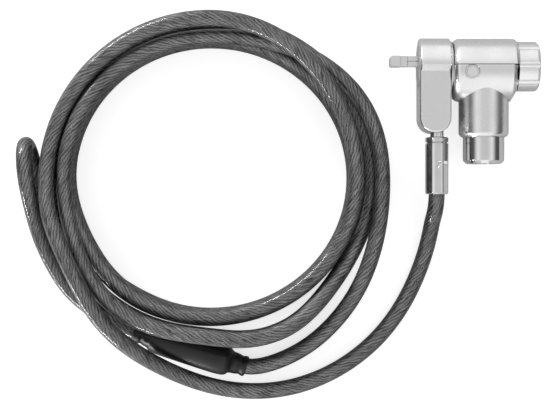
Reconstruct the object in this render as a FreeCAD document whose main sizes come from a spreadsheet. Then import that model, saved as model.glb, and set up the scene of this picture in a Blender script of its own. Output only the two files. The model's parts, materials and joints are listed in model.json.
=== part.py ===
import FreeCAD, Part
import math
import os

import Sketcher

# Laptop cable lock lying flat on a table, millimetres.
# +X runs from the nose to the knob, +Y away from the key barrel, +Z up from the table.
# The origin is the centre of the seat face that rests against the laptop, on the spindle axis.

V = FreeCAD.Vector

doc = FreeCAD.newDocument("LaptopCableLock")

SIZES = [
    # nose: a hook that goes through a 3 x 7 mm security slot
    ("nose_tip", -8.2), ("nose_step", -5.3), ("nose_root", -3.2), ("nose_depth", 3.0),
    ("hook_half", 3.2), ("neck_half", 1.9), ("shank_half", 1.5), ("shank_floor", 1.6),
    ("shank_end", 12.9), ("nose_round", 0.7),
    # lug carriage and its travel
    ("lug_tip", -3.15), ("lug_top", 1.4), ("block_left", 13.4), ("block_right", 22.0),
    ("block_floor", -4.45), ("block_top", 3.4), ("block_half", 3.95), ("travel", 3.6),
    ("pocket_radius", 1.6), ("pocket_depth", 2.15), ("channel_half", 0.9),
    # neck bush that carries the strap
    ("flange_radius", 6.0), ("flange_width", 1.2), ("bush_radius", 5.0), ("bush_shoulder", 9.55),
    ("groove_radius", 4.2), ("collar_left", 11.2), ("collar_right", 12.2), ("pin_x", 11.7),
    ("t_pin_radius", 0.35), ("fit_gap", 0.05),
    # strap
    ("strap_left", 0.1), ("strap_width", 9.0), ("ring_radius", 8.2), ("tongue_half", 6.1),
    ("tongue_top", -1.6), ("tongue_end", -19.2), ("tongue_corner", 4.2), ("strap_round", 0.6),
    ("stud_x", 5.5), ("stud_seat", -14.0), ("stud_well", 2.85), ("stud_radius", 1.95),
    ("stud_head", 2.75), ("stud_thread", 1.5), ("washer_width", 0.44), ("washer_outer", 7.4),
    # ferrule on the end of the cable
    ("ferrule_top", -20.4), ("ferrule_length", 16.5), ("ferrule_flats", 6.5), ("ferrule_bevel", 0.35),
    ("ferrule_groove", 0.3), ("groove_y", -22.0), ("groove_width", 0.5), ("thread_end", -27.0),
    # body and cover: a cylinder across, split in the plane of the spindle
    ("body_left", 9.6), ("body_right", 28.4), ("body_radius", 9.1), ("body_y", -1.0),
    ("left_round", 2.2), ("right_round", 1.4), ("body_bevel", 1.8), ("body_bevel_depth", 2.9),
    ("wall_left", 11.15), ("cavity_right", 26.5), ("cavity_floor", -4.7), ("cavity_top", 3.6),
    ("cavity_half", 4.0), ("tongue_x", 12.9), ("tongue_length", 3.6), ("tongue_drop", 3.9),
    ("tongue_in", 4.9), ("tongue_thick", 2.0),
    ("pin_radius", 1.4), ("cross_pin_x", 14.7), ("cross_pin_y", -2.1), ("pin_face", 8.8),
    ("spot_radius", 2.15), ("spot_face", 8.55), ("pin_in", 4.6),
    # key barrel
    ("barrel_x", 19.04), ("barrel_radius", 7.2), ("barrel_end", -20.5), ("barrel_round", 1.5),
    ("shell_radius", 5.95), ("shell_end", -28.1), ("shell_bevel", 0.9), ("spigot_radius", 5.3),
    ("spigot_top", -7.0), ("shell_bore", 4.2), ("lip_bore", 3.2), ("lip_width", 0.8),
    ("cam_hole", 4.3), ("shell_pin_radius", 0.6), ("shell_pin_y", -14.0),
    # disc cage, discs and cam
    ("cage_radius", 4.15), ("cage_front", -27.25), ("cage_wall", 0.95), ("cage_bore", 3.3),
    ("cage_end_wall", 1.0), ("keyway_length", 4.4), ("keyway_width", 1.5),
    ("disc_radius", 3.2), ("disc_width", 1.4), ("spacer_width", 0.7), ("spacer_bore", 2.3),
    ("disc_count", 8), ("bar_half", 0.5), ("bar_slot_half", 0.55), ("bar_in", 2.6),
    ("bar_out", 4.1), ("bar_low", -24.6), ("bar_high", -10.0),
    ("clip_outer", 4.85), ("clip_inner", 3.75), ("clip_width", 0.4), ("clip_y", -7.5),
    ("clip_seat", 5.0), ("cam_radius", 4.0), ("cam_low", -6.85), ("cam_high", -5.2),
    ("blade_top", -2.5), ("blade_half_long", 1.5), ("blade_half_thick", 0.8), ("cam_spigot", 1.55),
    # spindle and knob
    ("spindle_tip", 19.0), ("spindle_thin", 1.6), ("spindle_step", 25.7), ("spindle_radius", 2.2),
    ("spindle_shoulder", 28.42), ("square_side", 2.9), ("square_end", 32.6), ("e_clip_x", 25.92),
    ("e_clip_width", 0.46), ("e_clip_outer", 3.2), ("e_clip_inner", 1.75), ("screw_thread", 1.0),
    ("screw_head", 1.9), ("screw_head_x", 32.65), ("screw_head_width", 1.0),
    ("knob_left", 28.45), ("knob_right", 34.6), ("knob_radius", 7.25), ("knob_bevel", 0.8),
    ("flute_radius", 1.3), ("flute_depth", 0.75), ("flute_count", 8), ("cap_x", 33.75),
    ("cap_radius", 4.4), ("cap_width", 0.7), ("ring_mean", 3.2), ("ring_section", 0.44),
    ("ring_x", 28.87), ("ring_groove_in", 2.6), ("ring_groove_out", 3.8), ("ring_groove_depth", 0.9),
    # cable
    ("jacket_radius", 2.35), ("rope_radius", 1.85), ("table_z", -9.1), ("pitch", 4.82),
    ("coil_x", -60.1), ("coil_y", -32.1), ("coil_half_x", 42.1), ("coil_half_y", 40.5),
    ("hinge_y", -46.0), ("hinge_gap", 2.0),
    # sleeve and crimp at the loop
    ("sleeve_x", -66.0), ("sleeve_y", -82.2), ("sleeve_turn", -18.1), ("sleeve_length", 34.4),
    ("sleeve_width", 8.9), ("sleeve_height", 11.4), ("collar_length", 4.3), ("collar_width", 5.9),
    ("crimp_length", 20.0), ("crimp_width", 6.4), ("crimp_height", 10.1), ("strand_half", 2.45),
    ("jacket_in", 2.5),
]


def make_sheet():
    """Driving dimensions: one cell each, named by its alias."""
    cells = doc.addObject("Spreadsheet::Sheet", "Size")
    for row, (name, value) in enumerate(SIZES, start=1):
        cells.set("A%d" % row, name)
        cells.set("B%d" % row, str(value))
        cells.setAlias("B%d" % row, name)
    doc.recompute()
    return cells


sheet = make_sheet()


def size(name):
    return float(getattr(sheet, name))


def bind(obj, **expressions):
    """Ties properties to the sheet; base_x stands for Placement.Base.x."""
    for name, expression in expressions.items():
        if name.startswith("base_"):
            name = "Placement.Base." + name[-1]
        obj.setExpression(name, str(expression))
    return obj


def named(words):
    """Turns plain size names in an expression into references to the sheet."""
    out = []
    for word in str(words).replace("(", "( ").replace(")", " )").split():
        out.append("Size." + word if word[0].isalpha() else word)
    return " ".join(out)


TURNS = {
    "X": FreeCAD.Rotation(V(0, 1, 0), 90),
    "Y": FreeCAD.Rotation(V(1, 0, 0), -90),
    "Z": FreeCAD.Rotation(),
}


def cylinder(radius, start, end, axis, centre):
    """A cylinder from start to end along one axis; centre is its place on the two other axes."""
    obj = doc.addObject("Part::Cylinder", "Round")
    obj.Placement = FreeCAD.Placement(V(), TURNS[axis])
    bind(obj, Radius=named(radius), Height=named("%s - ( %s )" % (end, start)))
    places = list(centre)
    places.insert("XYZ".index(axis), start)
    return bind(obj, base_x=named(places[0]), base_y=named(places[1]), base_z=named(places[2]))


def box(x, y, z):
    """A box between (low, high) on each axis."""
    obj = doc.addObject("Part::Box", "Block")
    spans = [named("%s - ( %s )" % (high, low)) for low, high in (x, y, z)]
    bind(obj, Length=spans[0], Width=spans[1], Height=spans[2])
    return bind(obj, base_x=named(x[0]), base_y=named(y[0]), base_z=named(z[0]))


def fuse(pieces, label="Joined"):
    obj = doc.addObject("Part::MultiFuse", "Joined")
    obj.Shapes = pieces
    obj.Label = label
    return obj


def common(pieces):
    obj = doc.addObject("Part::MultiCommon", "Shared")
    obj.Shapes = pieces
    return obj


def cut(base, tools, label="Trimmed"):
    obj = doc.addObject("Part::Cut", "Trimmed")
    obj.Base = base
    obj.Tool = tools[0] if len(tools) == 1 else fuse(tools)
    obj.Label = label
    return obj


def group(pieces, label):
    """Separate solids kept together in one node."""
    obj = doc.addObject("Part::Compound", "Group")
    obj.Links = pieces
    obj.Label = label
    return obj


def edges_where(base, test):
    doc.recompute()
    return [i for i, edge in enumerate(base.Shape.Edges, start=1) if test(edge)]


def rounded(base, radius, test, label="Rounded"):
    obj = doc.addObject("Part::Fillet", "Rounded")
    obj.Base = base
    obj.Edges = [(i, size(radius), size(radius)) for i in edges_where(base, test)]
    obj.Label = label
    return obj


def beveled(base, first, second, test, label="Beveled"):
    obj = doc.addObject("Part::Chamfer", "Beveled")
    obj.Base = base
    obj.Edges = [(i, size(first), size(second)) for i in edges_where(base, test)]
    obj.Label = label
    return obj


def ring_at(axis, place):
    """Picks round edges that lie in the plane axis = place."""
    index = "XYZ".index(axis)

    def test(edge):
        spread = [edge.BoundBox.XLength, edge.BoundBox.YLength, edge.BoundBox.ZLength][index]
        flat = spread < 0.01 and abs(edge.CenterOfMass[index] - place) < 0.01
        return flat and edge.Curve.TypeId == "Part::GeomCircle"
    return test


def along(axis, *places):
    """Picks straight edges parallel to an axis at the given x and y, or y and z, places."""
    index = "XYZ".index(axis)

    def test(edge):
        if edge.Curve.TypeId != "Part::GeomLine":
            return False
        if abs(abs(edge.tangentAt(edge.FirstParameter)[index]) - 1) > 1e-6:
            return False
        here = [c for i, c in enumerate(edge.CenterOfMass) if i != index]
        return any(math.dist(here, place) < 0.01 for place in places)
    return test


# ---------------------------------------------------------------- PartDesign helpers

def new_body(label):
    body = doc.addObject("PartDesign::Body", label)
    body.Label = label
    return body


def plane(body, role):
    return next(item for item in body.Origin.OriginFeatures if item.Role == role)


def new_sketch(body, role, offset="0", axis="z"):
    sketch = body.newObject("Sketcher::SketchObject", "Sketch")
    sketch.AttachmentSupport = [(plane(body, role), "")]
    sketch.MapMode = "FlatFace"
    sketch.setExpression("AttachmentOffset.Base." + axis, named(offset))
    return sketch


def circle(sketch, radius, x="0", y="0"):
    """A circle whose radius and centre are bound to the sheet."""
    index = sketch.addGeometry(Part.Circle(V(0, 0, 0), V(0, 0, 1), 1.0))
    bound_constraint(sketch, ("Radius", index, 1.0), radius)
    place_point(sketch, index, 3, x, y)
    return index


def bound_constraint(sketch, parts, expression):
    number = sketch.addConstraint(Sketcher.Constraint(*parts))
    sketch.setExpression("Constraints[%d]" % number, named(expression))


def place_point(sketch, index, end, x, y):
    for kind, value, line in (("DistanceX", x, -2), ("DistanceY", y, -1)):
        if value == "0":
            sketch.addConstraint(Sketcher.Constraint("PointOnObject", index, end, line))
        else:
            bound_constraint(sketch, (kind, -1, 1, index, end, 1.0), value)


def outline(sketch, corners):
    """A closed run of straight lines through corners given as pairs of size expressions."""
    spots = [V(evaluate(x), evaluate(y), 0) for x, y in corners]
    first = None
    for i, spot in enumerate(spots):
        index = sketch.addGeometry(Part.LineSegment(spot, spots[(i + 1) % len(spots)]))
        first = index if first is None else first
    for i, (x, y) in enumerate(corners):
        before = first + (i - 1) % len(corners)
        sketch.addConstraint(Sketcher.Constraint("Coincident", before, 2, first + i, 1))
        place_corner(sketch, first + i, x, y, spots[i])


def place_corner(sketch, index, x, y, spot):
    for kind, value, number, line in (("DistanceX", x, spot.x, -2), ("DistanceY", y, spot.y, -1)):
        if value == "0":
            sketch.addConstraint(Sketcher.Constraint("PointOnObject", index, 1, line))
        else:
            bound_constraint(sketch, (kind, -1, 1, index, 1, number), value)


def evaluate(expression):
    names = {name: size(name) for name, _ in SIZES}
    total = 0.0
    sign = 1.0
    for word in str(expression).split():
        if word in "+-" and len(word) == 1:
            sign = -1.0 if word == "-" else 1.0
            continue
        total += sign * (names[word] if word in names else float(word))
    return total


def pad(body, sketch, length):
    feature = body.newObject("PartDesign::Pad", "Pad")
    feature.Profile = sketch
    feature.setExpression("Length", named(length))
    return feature


def pocket(body, sketch, length, backwards=False):
    """Cuts along the sketch's normal side that meets the solid, and makes sure that it did."""
    doc.recompute()
    before = body.Shape.Volume
    feature = body.newObject("PartDesign::Pocket", "Pocket")
    feature.Profile = sketch
    feature.Reversed = backwards
    feature.setExpression("Length", named(length))
    doc.recompute()
    assert body.Shape.Volume < before, "a pocket in %s cuts nothing" % body.Label
    return feature


def revolve(body, sketch, axis):
    feature = body.newObject("PartDesign::Revolution", "Turned")
    feature.Profile = sketch
    feature.ReferenceAxis = (sketch, [axis])
    feature.Angle = 360.0
    return feature


def polar(body, feature, axis_role, count):
    pattern = body.newObject("PartDesign::PolarPattern", "Around")
    pattern.Originals = [feature]
    pattern.Axis = (plane(body, axis_role), [""])
    pattern.Angle = 360.0
    pattern.setExpression("Occurrences", named(count))
    body.Tip = pattern
    return pattern


# ---------------------------------------------------------------- lock head

def body_half(upper):
    """One half of the head: a cylinder across, cut in the spindle plane and hollowed."""
    whole = cylinder("body_radius", "body_left", "body_right", "X", ("body_y", "0"))
    smooth = rounded(whole, "left_round", ring_at("X", size("body_left")))
    far = ring_at("X", size("body_right"))
    if upper:
        shaped = rounded(smooth, "right_round", far)
        keep = box(("0", "body_right + 1"), ("0", "body_radius"), ("- body_radius", "body_radius"))
    else:
        shaped = beveled(smooth, "body_bevel", "body_bevel_depth", far)
        keep = box(("0", "body_right + 1"), ("- body_radius * 2", "0"), ("- body_radius", "body_radius"))
    return common([shaped, keep])


def head_hollows():
    """The spaces that both halves share: slide chamber, bush seat and spindle hole."""
    return [
        box(
            ("wall_left", "cavity_right"), ("cavity_floor", "cavity_top"), ("- cavity_half", "cavity_half")
        ),
        cylinder("groove_radius + fit_gap", "0", "wall_left", "X", ("0", "0")),
        cylinder("bush_radius + fit_gap", "wall_left", "collar_right + fit_gap", "X", ("0", "0")),
        cylinder("spindle_radius + fit_gap", "cavity_right - 1", "body_right + 1", "X", ("0", "0")),
    ]


def cover_tongue(front, gap):
    """The tongue below the cover that a cross pin holds, or with a gap the slot it drops into."""
    near = "tongue_in - %s" % gap
    far = "tongue_in + tongue_thick + %s" % gap
    depth = (near, far) if front else ("0 - ( %s )" % far, "0 - ( %s )" % near)
    top = "0.5" if gap == "0" else gap
    return box(
        ("tongue_x - %s" % gap, "tongue_x + tongue_length + %s" % gap),
        ("0 - tongue_drop - %s" % gap, top),
        depth,
    )


def cross_pin(front):
    """A short pin from outside through the skin of the body and the cover's tongue."""
    start, end = ("pin_in", "pin_face") if front else ("- pin_face", "- pin_in")
    return cylinder("pin_radius", start, end, "Z", ("cross_pin_x", "cross_pin_y"))


def spot_face(front):
    """The flat seat sunk round the pin's head."""
    start, end = ("spot_face", "body_radius + 1") if front else ("- body_radius - 1", "- spot_face")
    return cylinder("spot_radius", start, end, "Z", ("cross_pin_x", "cross_pin_y"))


def lock_body():
    barrel = cylinder("barrel_radius", "barrel_end", "body_y", "Y", ("barrel_x", "0"))
    barrel = rounded(barrel, "barrel_round", ring_at("Y", size("barrel_end")))
    hollows = head_hollows()
    hollows.append(cylinder("spigot_radius", "barrel_end - 1", "spigot_top + 0.1", "Y", ("barrel_x", "0")))
    hollows.append(cylinder("cam_hole", "spigot_top", "cavity_floor + 0.1", "Y", ("barrel_x", "0")))
    for front in (True, False):
        hollows.append(cover_tongue(front, "fit_gap"))
        hollows.append(cross_pin(front))
        hollows.append(spot_face(front))
    start, end = "- barrel_radius", "- shell_bore - 0.3"
    hollows.append(cylinder("shell_pin_radius", start, end, "Z", ("barrel_x", "shell_pin_y")))
    return cut(fuse([body_half(False), barrel]), hollows, "lock_body")


def top_cover():
    tongues = [cover_tongue(front, "0") for front in (True, False)]
    holes = [cross_pin(front) for front in (True, False)]
    return cut(fuse([body_half(True)] + tongues), head_hollows() + holes, "top_cover")


def retaining_pins():
    return group([cross_pin(front) for front in (True, False)], "retaining_pins")


def neck_bush():
    """Turned bush: flange outside the strap, groove in the body wall, collar inside."""
    body = new_body("neck_bush_turned")
    sketch = new_sketch(body, "XY_Plane")
    outline(sketch, [
        ("0", "0"), ("0", "flange_radius"), ("flange_width", "flange_radius"),
        ("flange_width", "bush_radius"), ("bush_shoulder", "bush_radius"),
        ("bush_shoulder", "groove_radius"), ("collar_left", "groove_radius"),
        ("collar_left", "bush_radius"), ("collar_right", "bush_radius"), ("collar_right", "0"),
    ])
    revolve(body, sketch, "H_Axis")
    slot = box(
        ("-1", "collar_right + 1"),
        ("- fit_gap", "nose_depth"),
        ("- shank_half - fit_gap", "shank_half + fit_gap"),
    )
    pin = cylinder("t_pin_radius", "nose_depth - 0.1", "bush_radius + 1", "Y", ("pin_x", "0"))
    return cut(body, [slot, pin], "neck_bush")


def strap_washer():
    left = "strap_left + strap_width + 0.03"
    disc = cylinder("washer_outer", left, left + " + washer_width", "X", ("0", "0"))
    hole = cylinder("bush_radius + fit_gap", "0", "body_right", "X", ("0", "0"))
    return cut(disc, [hole], "strap_washer")


def t_bar():
    head = box(("nose_tip", "nose_step"), ("0", "nose_depth"), ("- hook_half", "hook_half"))
    low, high = 0.0, size("nose_depth")
    tip = size("nose_tip")
    head = rounded(head, "nose_round", along("Z", (tip, low), (tip, high)))
    neck = box(("nose_step", "nose_root"), ("0", "nose_depth"), ("- neck_half", "neck_half"))
    shank = box(("nose_root", "shank_end"), ("shank_floor", "nose_depth"), ("- shank_half", "shank_half"))
    pin = cylinder("t_pin_radius", "0", "nose_depth + 1", "Y", ("pin_x", "0"))
    return cut(fuse([head, neck, shank]), [pin], "t_bar")


def t_bar_pin():
    pin = cylinder("t_pin_radius", "shank_floor", "bush_radius - 0.05", "Y", ("pin_x", "0"))
    pin.Label = "t_bar_pin"
    return pin


def lug_carriage():
    """Sliding block with the lug on its nose side and two pockets for the key cam below."""
    strip = box(("lug_tip", "block_left + 0.5"), ("0", "lug_top"), ("- shank_half", "shank_half"))
    block = box(("block_left", "block_right"), ("block_floor", "block_top"), ("- block_half", "block_half"))
    bore = cylinder("spindle_thin + fit_gap", "block_left + 1.6", "block_right + 1", "X", ("0", "0"))
    tools = [bore]
    for place in ("barrel_x", "barrel_x - travel"):
        tools.append(
            cylinder("pocket_radius", "block_floor - 1", "block_floor + pocket_depth", "Y", (place, "0"))
        )
    tools.append(box(
        ("barrel_x - travel", "barrel_x"),
        ("block_floor - 1", "block_floor + pocket_depth"),
        ("- channel_half", "channel_half"),
    ))
    return cut(fuse([strip, block]), tools, "lug_carriage")


def drive_spindle():
    thin = cylinder("spindle_thin", "spindle_tip", "spindle_step", "X", ("0", "0"))
    thick = cylinder("spindle_radius", "spindle_step", "spindle_shoulder", "X", ("0", "0"))
    square = box(
        ("spindle_shoulder", "square_end"),
        ("- square_side / 2", "square_side / 2"),
        ("- square_side / 2", "square_side / 2"),
    )
    ring = cut(
        cylinder("spindle_radius + 1", "e_clip_x", "e_clip_x + e_clip_width", "X", ("0", "0")),
        [cylinder("e_clip_inner", "0", "body_right", "X", ("0", "0"))],
    )
    hole = cylinder("screw_thread", "spindle_shoulder", "square_end + 1", "X", ("0", "0"))
    return cut(fuse([thin, thick, square]), [ring, hole], "drive_spindle")


def open_ring(outer, inner, start, end, axis, centre, label):
    """A snap ring: a flat ring with one gap, so that it can be sprung on."""
    disc = cylinder(outer, start, end, axis, centre)
    hole = cylinder(inner, start + " - 1", end + " + 1", axis, centre)
    if axis == "X":
        mouth = ("- %s * 0.6" % inner, "%s * 0.6" % inner)
        gap = box((start + " - 1", end + " + 1"), ("0", outer + " + 1"), mouth)
    else:
        gap = box(
            (centre[0] + " - %s * 0.6" % inner, centre[0] + " + %s * 0.6" % inner),
            (start + " - 1", end + " + 1"),
            ("- %s - 1" % outer, "0"),
        )
    return cut(disc, [hole, gap], label)


def spindle_clip():
    ends = ("e_clip_x", "e_clip_x + e_clip_width")
    return open_ring("e_clip_outer", "e_clip_inner", *ends, "X", ("0", "0"), "spindle_clip")


def knob():
    """Fluted knob padded from its inner face, with its bores cut from both ends."""
    body = new_body("knob_blank")
    sketch = new_sketch(body, "XY_Plane")
    outline(sketch, [
        ("knob_left", "0"), ("knob_left", "knob_radius"), ("knob_right - knob_bevel", "knob_radius"),
        ("knob_right", "knob_radius - knob_bevel"), ("knob_right", "0"),
    ])
    revolve(body, sketch, "H_Axis")
    groove = new_sketch(body, "YZ_Plane", "knob_left")
    circle(groove, "flute_radius", "knob_radius + flute_radius - flute_depth", "0")
    flute = pocket(body, groove, "knob_right - knob_left", True)
    polar(body, flute, "X_Axis", "flute_count")
    square = box(
        ("knob_left - 1", "square_end + 0.05"),
        ("- square_side / 2 - 0.02", "square_side / 2 + 0.02"),
        ("- square_side / 2 - 0.02", "square_side / 2 + 0.02"),
    )
    head_well = cylinder("screw_head + 0.1", "square_end", "knob_right", "X", ("0", "0"))
    cap_well = cylinder("cap_radius + 0.02", "cap_x", "knob_right + 1", "X", ("0", "0"))
    seal_groove = cut(
        cylinder("ring_groove_out", "knob_left - 1", "knob_left + ring_groove_depth", "X", ("0", "0")),
        [cylinder("ring_groove_in", "knob_left - 2", "knob_left + 2", "X", ("0", "0"))],
    )
    return cut(body, [square, head_well, cap_well, seal_groove], "knob")


def knob_screw():
    thread = cylinder("screw_thread", "knob_left + 0.6", "screw_head_x", "X", ("0", "0"))
    head = cylinder("screw_head", "screw_head_x", "screw_head_x + screw_head_width", "X", ("0", "0"))
    slot = box(("screw_head_x + 0.5", "cap_x"), ("-0.2", "0.2"), ("- screw_head", "screw_head"))
    return cut(fuse([thread, head]), [slot], "knob_screw")


def knob_cap():
    disc = cylinder("cap_radius", "cap_x", "cap_x + cap_width", "X", ("0", "0"))
    rim = ring_at("X", size("cap_x") + size("cap_width"))
    return beveled(disc, "ferrule_bevel", "ferrule_bevel", rim, "knob_cap")


def knob_o_ring():
    ring = doc.addObject("Part::Torus", "knob_o_ring")
    ring.Placement = FreeCAD.Placement(V(), TURNS["X"])
    ring.Label = "knob_o_ring"
    return bind(ring, Radius1=named("ring_mean"), Radius2=named("ring_section"), base_x=named("ring_x"))


# ---------------------------------------------------------------- key cylinder

def key_shell():
    """Turned shell: collar outside the barrel, spigot inside, bore for the disc cage."""
    body = new_body("key_shell_turned")
    bind(body, base_x=named("barrel_x"))
    sketch = new_sketch(body, "XY_Plane")
    outline(sketch, [
        ("lip_bore", "shell_end"), ("shell_radius - shell_bevel", "shell_end"),
        ("shell_radius", "shell_end + shell_bevel"), ("shell_radius", "barrel_end"),
        ("spigot_radius", "barrel_end"), ("spigot_radius", "spigot_top"),
        ("clip_seat", "spigot_top"), ("clip_seat", "clip_y - 0.15"),
        ("shell_bore", "clip_y - 0.15"), ("shell_bore", "shell_end + lip_width"),
        ("lip_bore", "shell_end + lip_width"),
    ])
    revolve(body, sketch, "V_Axis")
    bar_groove = box(
        ("barrel_x + shell_bore - 0.5", "barrel_x + shell_bore + 0.6"),
        ("bar_low - 0.1", "bar_high + 0.1"),
        ("- bar_slot_half", "bar_slot_half"),
    )
    place = ("barrel_x", "shell_pin_y")
    pin = cylinder("shell_pin_radius", "- barrel_radius", "- shell_bore - 0.3", "Z", place)
    return cut(body, [bar_groove, pin], "key_shell")


def shell_pin():
    place = ("barrel_x", "shell_pin_y")
    pin = cylinder("shell_pin_radius", "- barrel_radius + 0.1", "- shell_bore - 0.3", "Z", place)
    pin.Label = "shell_pin"
    return pin


def keyway(low, high):
    """The flat opening that the key passes through."""
    return box(
        ("barrel_x - keyway_width / 2", "barrel_x + keyway_width / 2"),
        (low, high),
        ("- keyway_length / 2", "keyway_length / 2"),
    )


def bar_slot(low, high, inner):
    sides = ("barrel_x - bar_slot_half", "barrel_x + bar_slot_half")
    return box(sides, (low, high), (inner, "cage_radius + 1"))


def key_plug():
    """Hollow cage that holds the discs; its front face has the keyway."""
    whole = cylinder("cage_radius", "cage_front", "spigot_top", "Y", ("barrel_x", "0"))
    ends = ("cage_front + cage_wall", "spigot_top - cage_end_wall")
    inside = cylinder("cage_bore", *ends, "Y", ("barrel_x", "0"))
    end_hole = cylinder("cam_spigot", "spigot_top - 2", "spigot_top + 1", "Y", ("barrel_x", "0"))
    clip_groove = cut(
        cylinder("cage_radius + 1", "clip_y", "clip_y + clip_width", "Y", ("barrel_x", "0")),
        [cylinder("clip_inner", "cage_front", "spigot_top", "Y", ("barrel_x", "0"))],
    )
    tools = [inside, end_hole, clip_groove]
    tools.append(keyway("cage_front - 1", "cage_front + cage_wall + 0.5"))
    tools.append(bar_slot("bar_low - 0.05", "bar_high + 0.05", "bar_in - 0.1"))
    return cut(whole, tools, "key_plug")


def disc_stack(first, width, opening, label):
    """Equal discs spaced along the cage, each notched for the side bar."""
    discs = []
    for i in range(int(size("disc_count"))):
        low = "cage_front + cage_wall + %s + %d * ( disc_width + spacer_width )" % (first, i)
        high = low + " + " + width
        disc = cylinder("disc_radius", low, high, "Y", ("barrel_x", "0"))
        notch = bar_slot(low + " - 1", high + " + 1", "bar_in - 0.1")
        discs.append(cut(disc, [opening(low + " - 1", high + " + 1"), notch]))
    return group(discs, label)


def detainer_discs():
    return disc_stack("0.05", "disc_width", keyway, "detainer_discs")


def spacer_discs():
    def round_hole(low, high):
        return cylinder("spacer_bore", low, high, "Y", ("barrel_x", "0"))
    return disc_stack("0.1 + disc_width", "spacer_width - 0.1", round_hole, "spacer_discs")


def sidebar():
    sides = ("barrel_x - bar_half", "barrel_x + bar_half")
    bar = box(sides, ("bar_low", "bar_high"), ("bar_in", "bar_out"))
    bar.Label = "sidebar"
    return bar


def plug_circlip():
    ends = ("clip_y", "clip_y + clip_width")
    return open_ring("clip_outer", "clip_inner", *ends, "Y", ("barrel_x", "0"), "plug_circlip")


def tail_cam():
    """Disc on the end of the cage with a flat blade that reaches into the carriage."""
    spigot = cylinder("cam_spigot", "spigot_top - cage_end_wall", "cam_low + 0.1", "Y", ("barrel_x", "0"))
    disc = cylinder("cam_radius", "cam_low", "cam_high", "Y", ("barrel_x", "0"))
    stem = cylinder("blade_half_long", "cam_high - 0.1", "blade_top", "Y", ("barrel_x", "0"))
    flat = box(
        ("barrel_x - blade_half_long", "barrel_x + blade_half_long"),
        ("cam_high - 0.1", "blade_top"),
        ("- blade_half_thick", "blade_half_thick"),
    )
    return fuse([spigot, disc, common([stem, flat])], "tail_cam")


# ---------------------------------------------------------------- strap and ferrule

def swivel_strap():
    """Ring around the bush that runs down into a thick tongue, padded across from one outline."""
    body = new_body("strap_blank")
    sketch = new_sketch(body, "YZ_Plane", "strap_left")
    radius = size("ring_radius")
    round_line = Part.Circle(V(), V(0, 0, 1), radius)
    arc = sketch.addGeometry(Part.ArcOfCircle(round_line, -math.pi / 2, math.pi / 2))
    sketch.addConstraint(Sketcher.Constraint("Coincident", arc, 3, -1, 1))
    sketch.addConstraint(Sketcher.Constraint("PointOnObject", arc, 1, -2))
    sketch.addConstraint(Sketcher.Constraint("PointOnObject", arc, 2, -2))
    bound_constraint(sketch, ("Radius", arc, radius), "ring_radius")
    corners = [
        ("0", "ring_radius"), ("tongue_top", "tongue_half"), ("tongue_end", "tongue_half"),
        ("tongue_end", "0 - tongue_half"), ("tongue_top", "0 - tongue_half"), ("0", "0 - ring_radius"),
    ]
    spots = [V(evaluate(x), evaluate(y), 0) for x, y in corners]
    lines = [sketch.addGeometry(Part.LineSegment(a, b)) for a, b in zip(spots, spots[1:])]
    sketch.addConstraint(Sketcher.Constraint("Coincident", arc, 2, lines[0], 1))
    sketch.addConstraint(Sketcher.Constraint("Coincident", lines[-1], 2, arc, 1))
    for before, after, (x, y), spot in zip(lines, lines[1:], corners[1:], spots[1:]):
        sketch.addConstraint(Sketcher.Constraint("Coincident", before, 2, after, 1))
        place_corner(sketch, after, x, y, spot)
    pad(body, sketch, "strap_width")
    doc.recompute()
    left = size("strap_left")
    right = left + size("strap_width")
    end = size("tongue_end")
    blunt = rounded(body, "tongue_corner", along("Z", (left, end), (right, end)))
    soft = rounded(blunt, "strap_round", outer_rim(left, right))
    bore = cylinder("bush_radius + fit_gap", "-1", "body_left", "X", ("0", "0"))
    flange_seat = cylinder("flange_radius + fit_gap", "-1", "flange_width + fit_gap", "X", ("0", "0"))
    well = cylinder("stud_well", "stud_seat", "-1", "Y", ("stud_x", "0"))
    stem = cylinder("stud_radius + fit_gap", "tongue_end - 1", "stud_seat + 0.1", "Y", ("stud_x", "0"))
    return cut(soft, [bore, flange_seat, well, stem], "swivel_strap")


def outer_rim(left, right):
    """Edges of the strap's two flat sides."""
    def test(edge):
        box_ = edge.BoundBox
        flat = box_.XLength < 0.01
        return flat and min(abs(box_.XMin - left), abs(box_.XMin - right)) < 0.01
    return test


def swivel_stud():
    """Headed stud that hangs in the strap and is fixed in the ferrule."""
    head = cylinder("stud_head", "stud_seat + 0.65", "stud_seat + 2.4", "Y", ("stud_x", "0"))
    stem = cylinder("stud_radius", "ferrule_top", "stud_seat + 0.7", "Y", ("stud_x", "0"))
    thread = cylinder("stud_thread", "thread_end", "ferrule_top + 0.1", "Y", ("stud_x", "0"))
    return fuse([head, stem, thread], "swivel_stud")


def stud_washer():
    disc = cylinder("stud_head", "stud_seat + 0.03", "stud_seat + 0.62", "Y", ("stud_x", "0"))
    hole = cylinder("stud_radius + fit_gap", "stud_seat - 1", "stud_seat + 1", "Y", ("stud_x", "0"))
    return cut(disc, [hole], "stud_washer")


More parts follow.
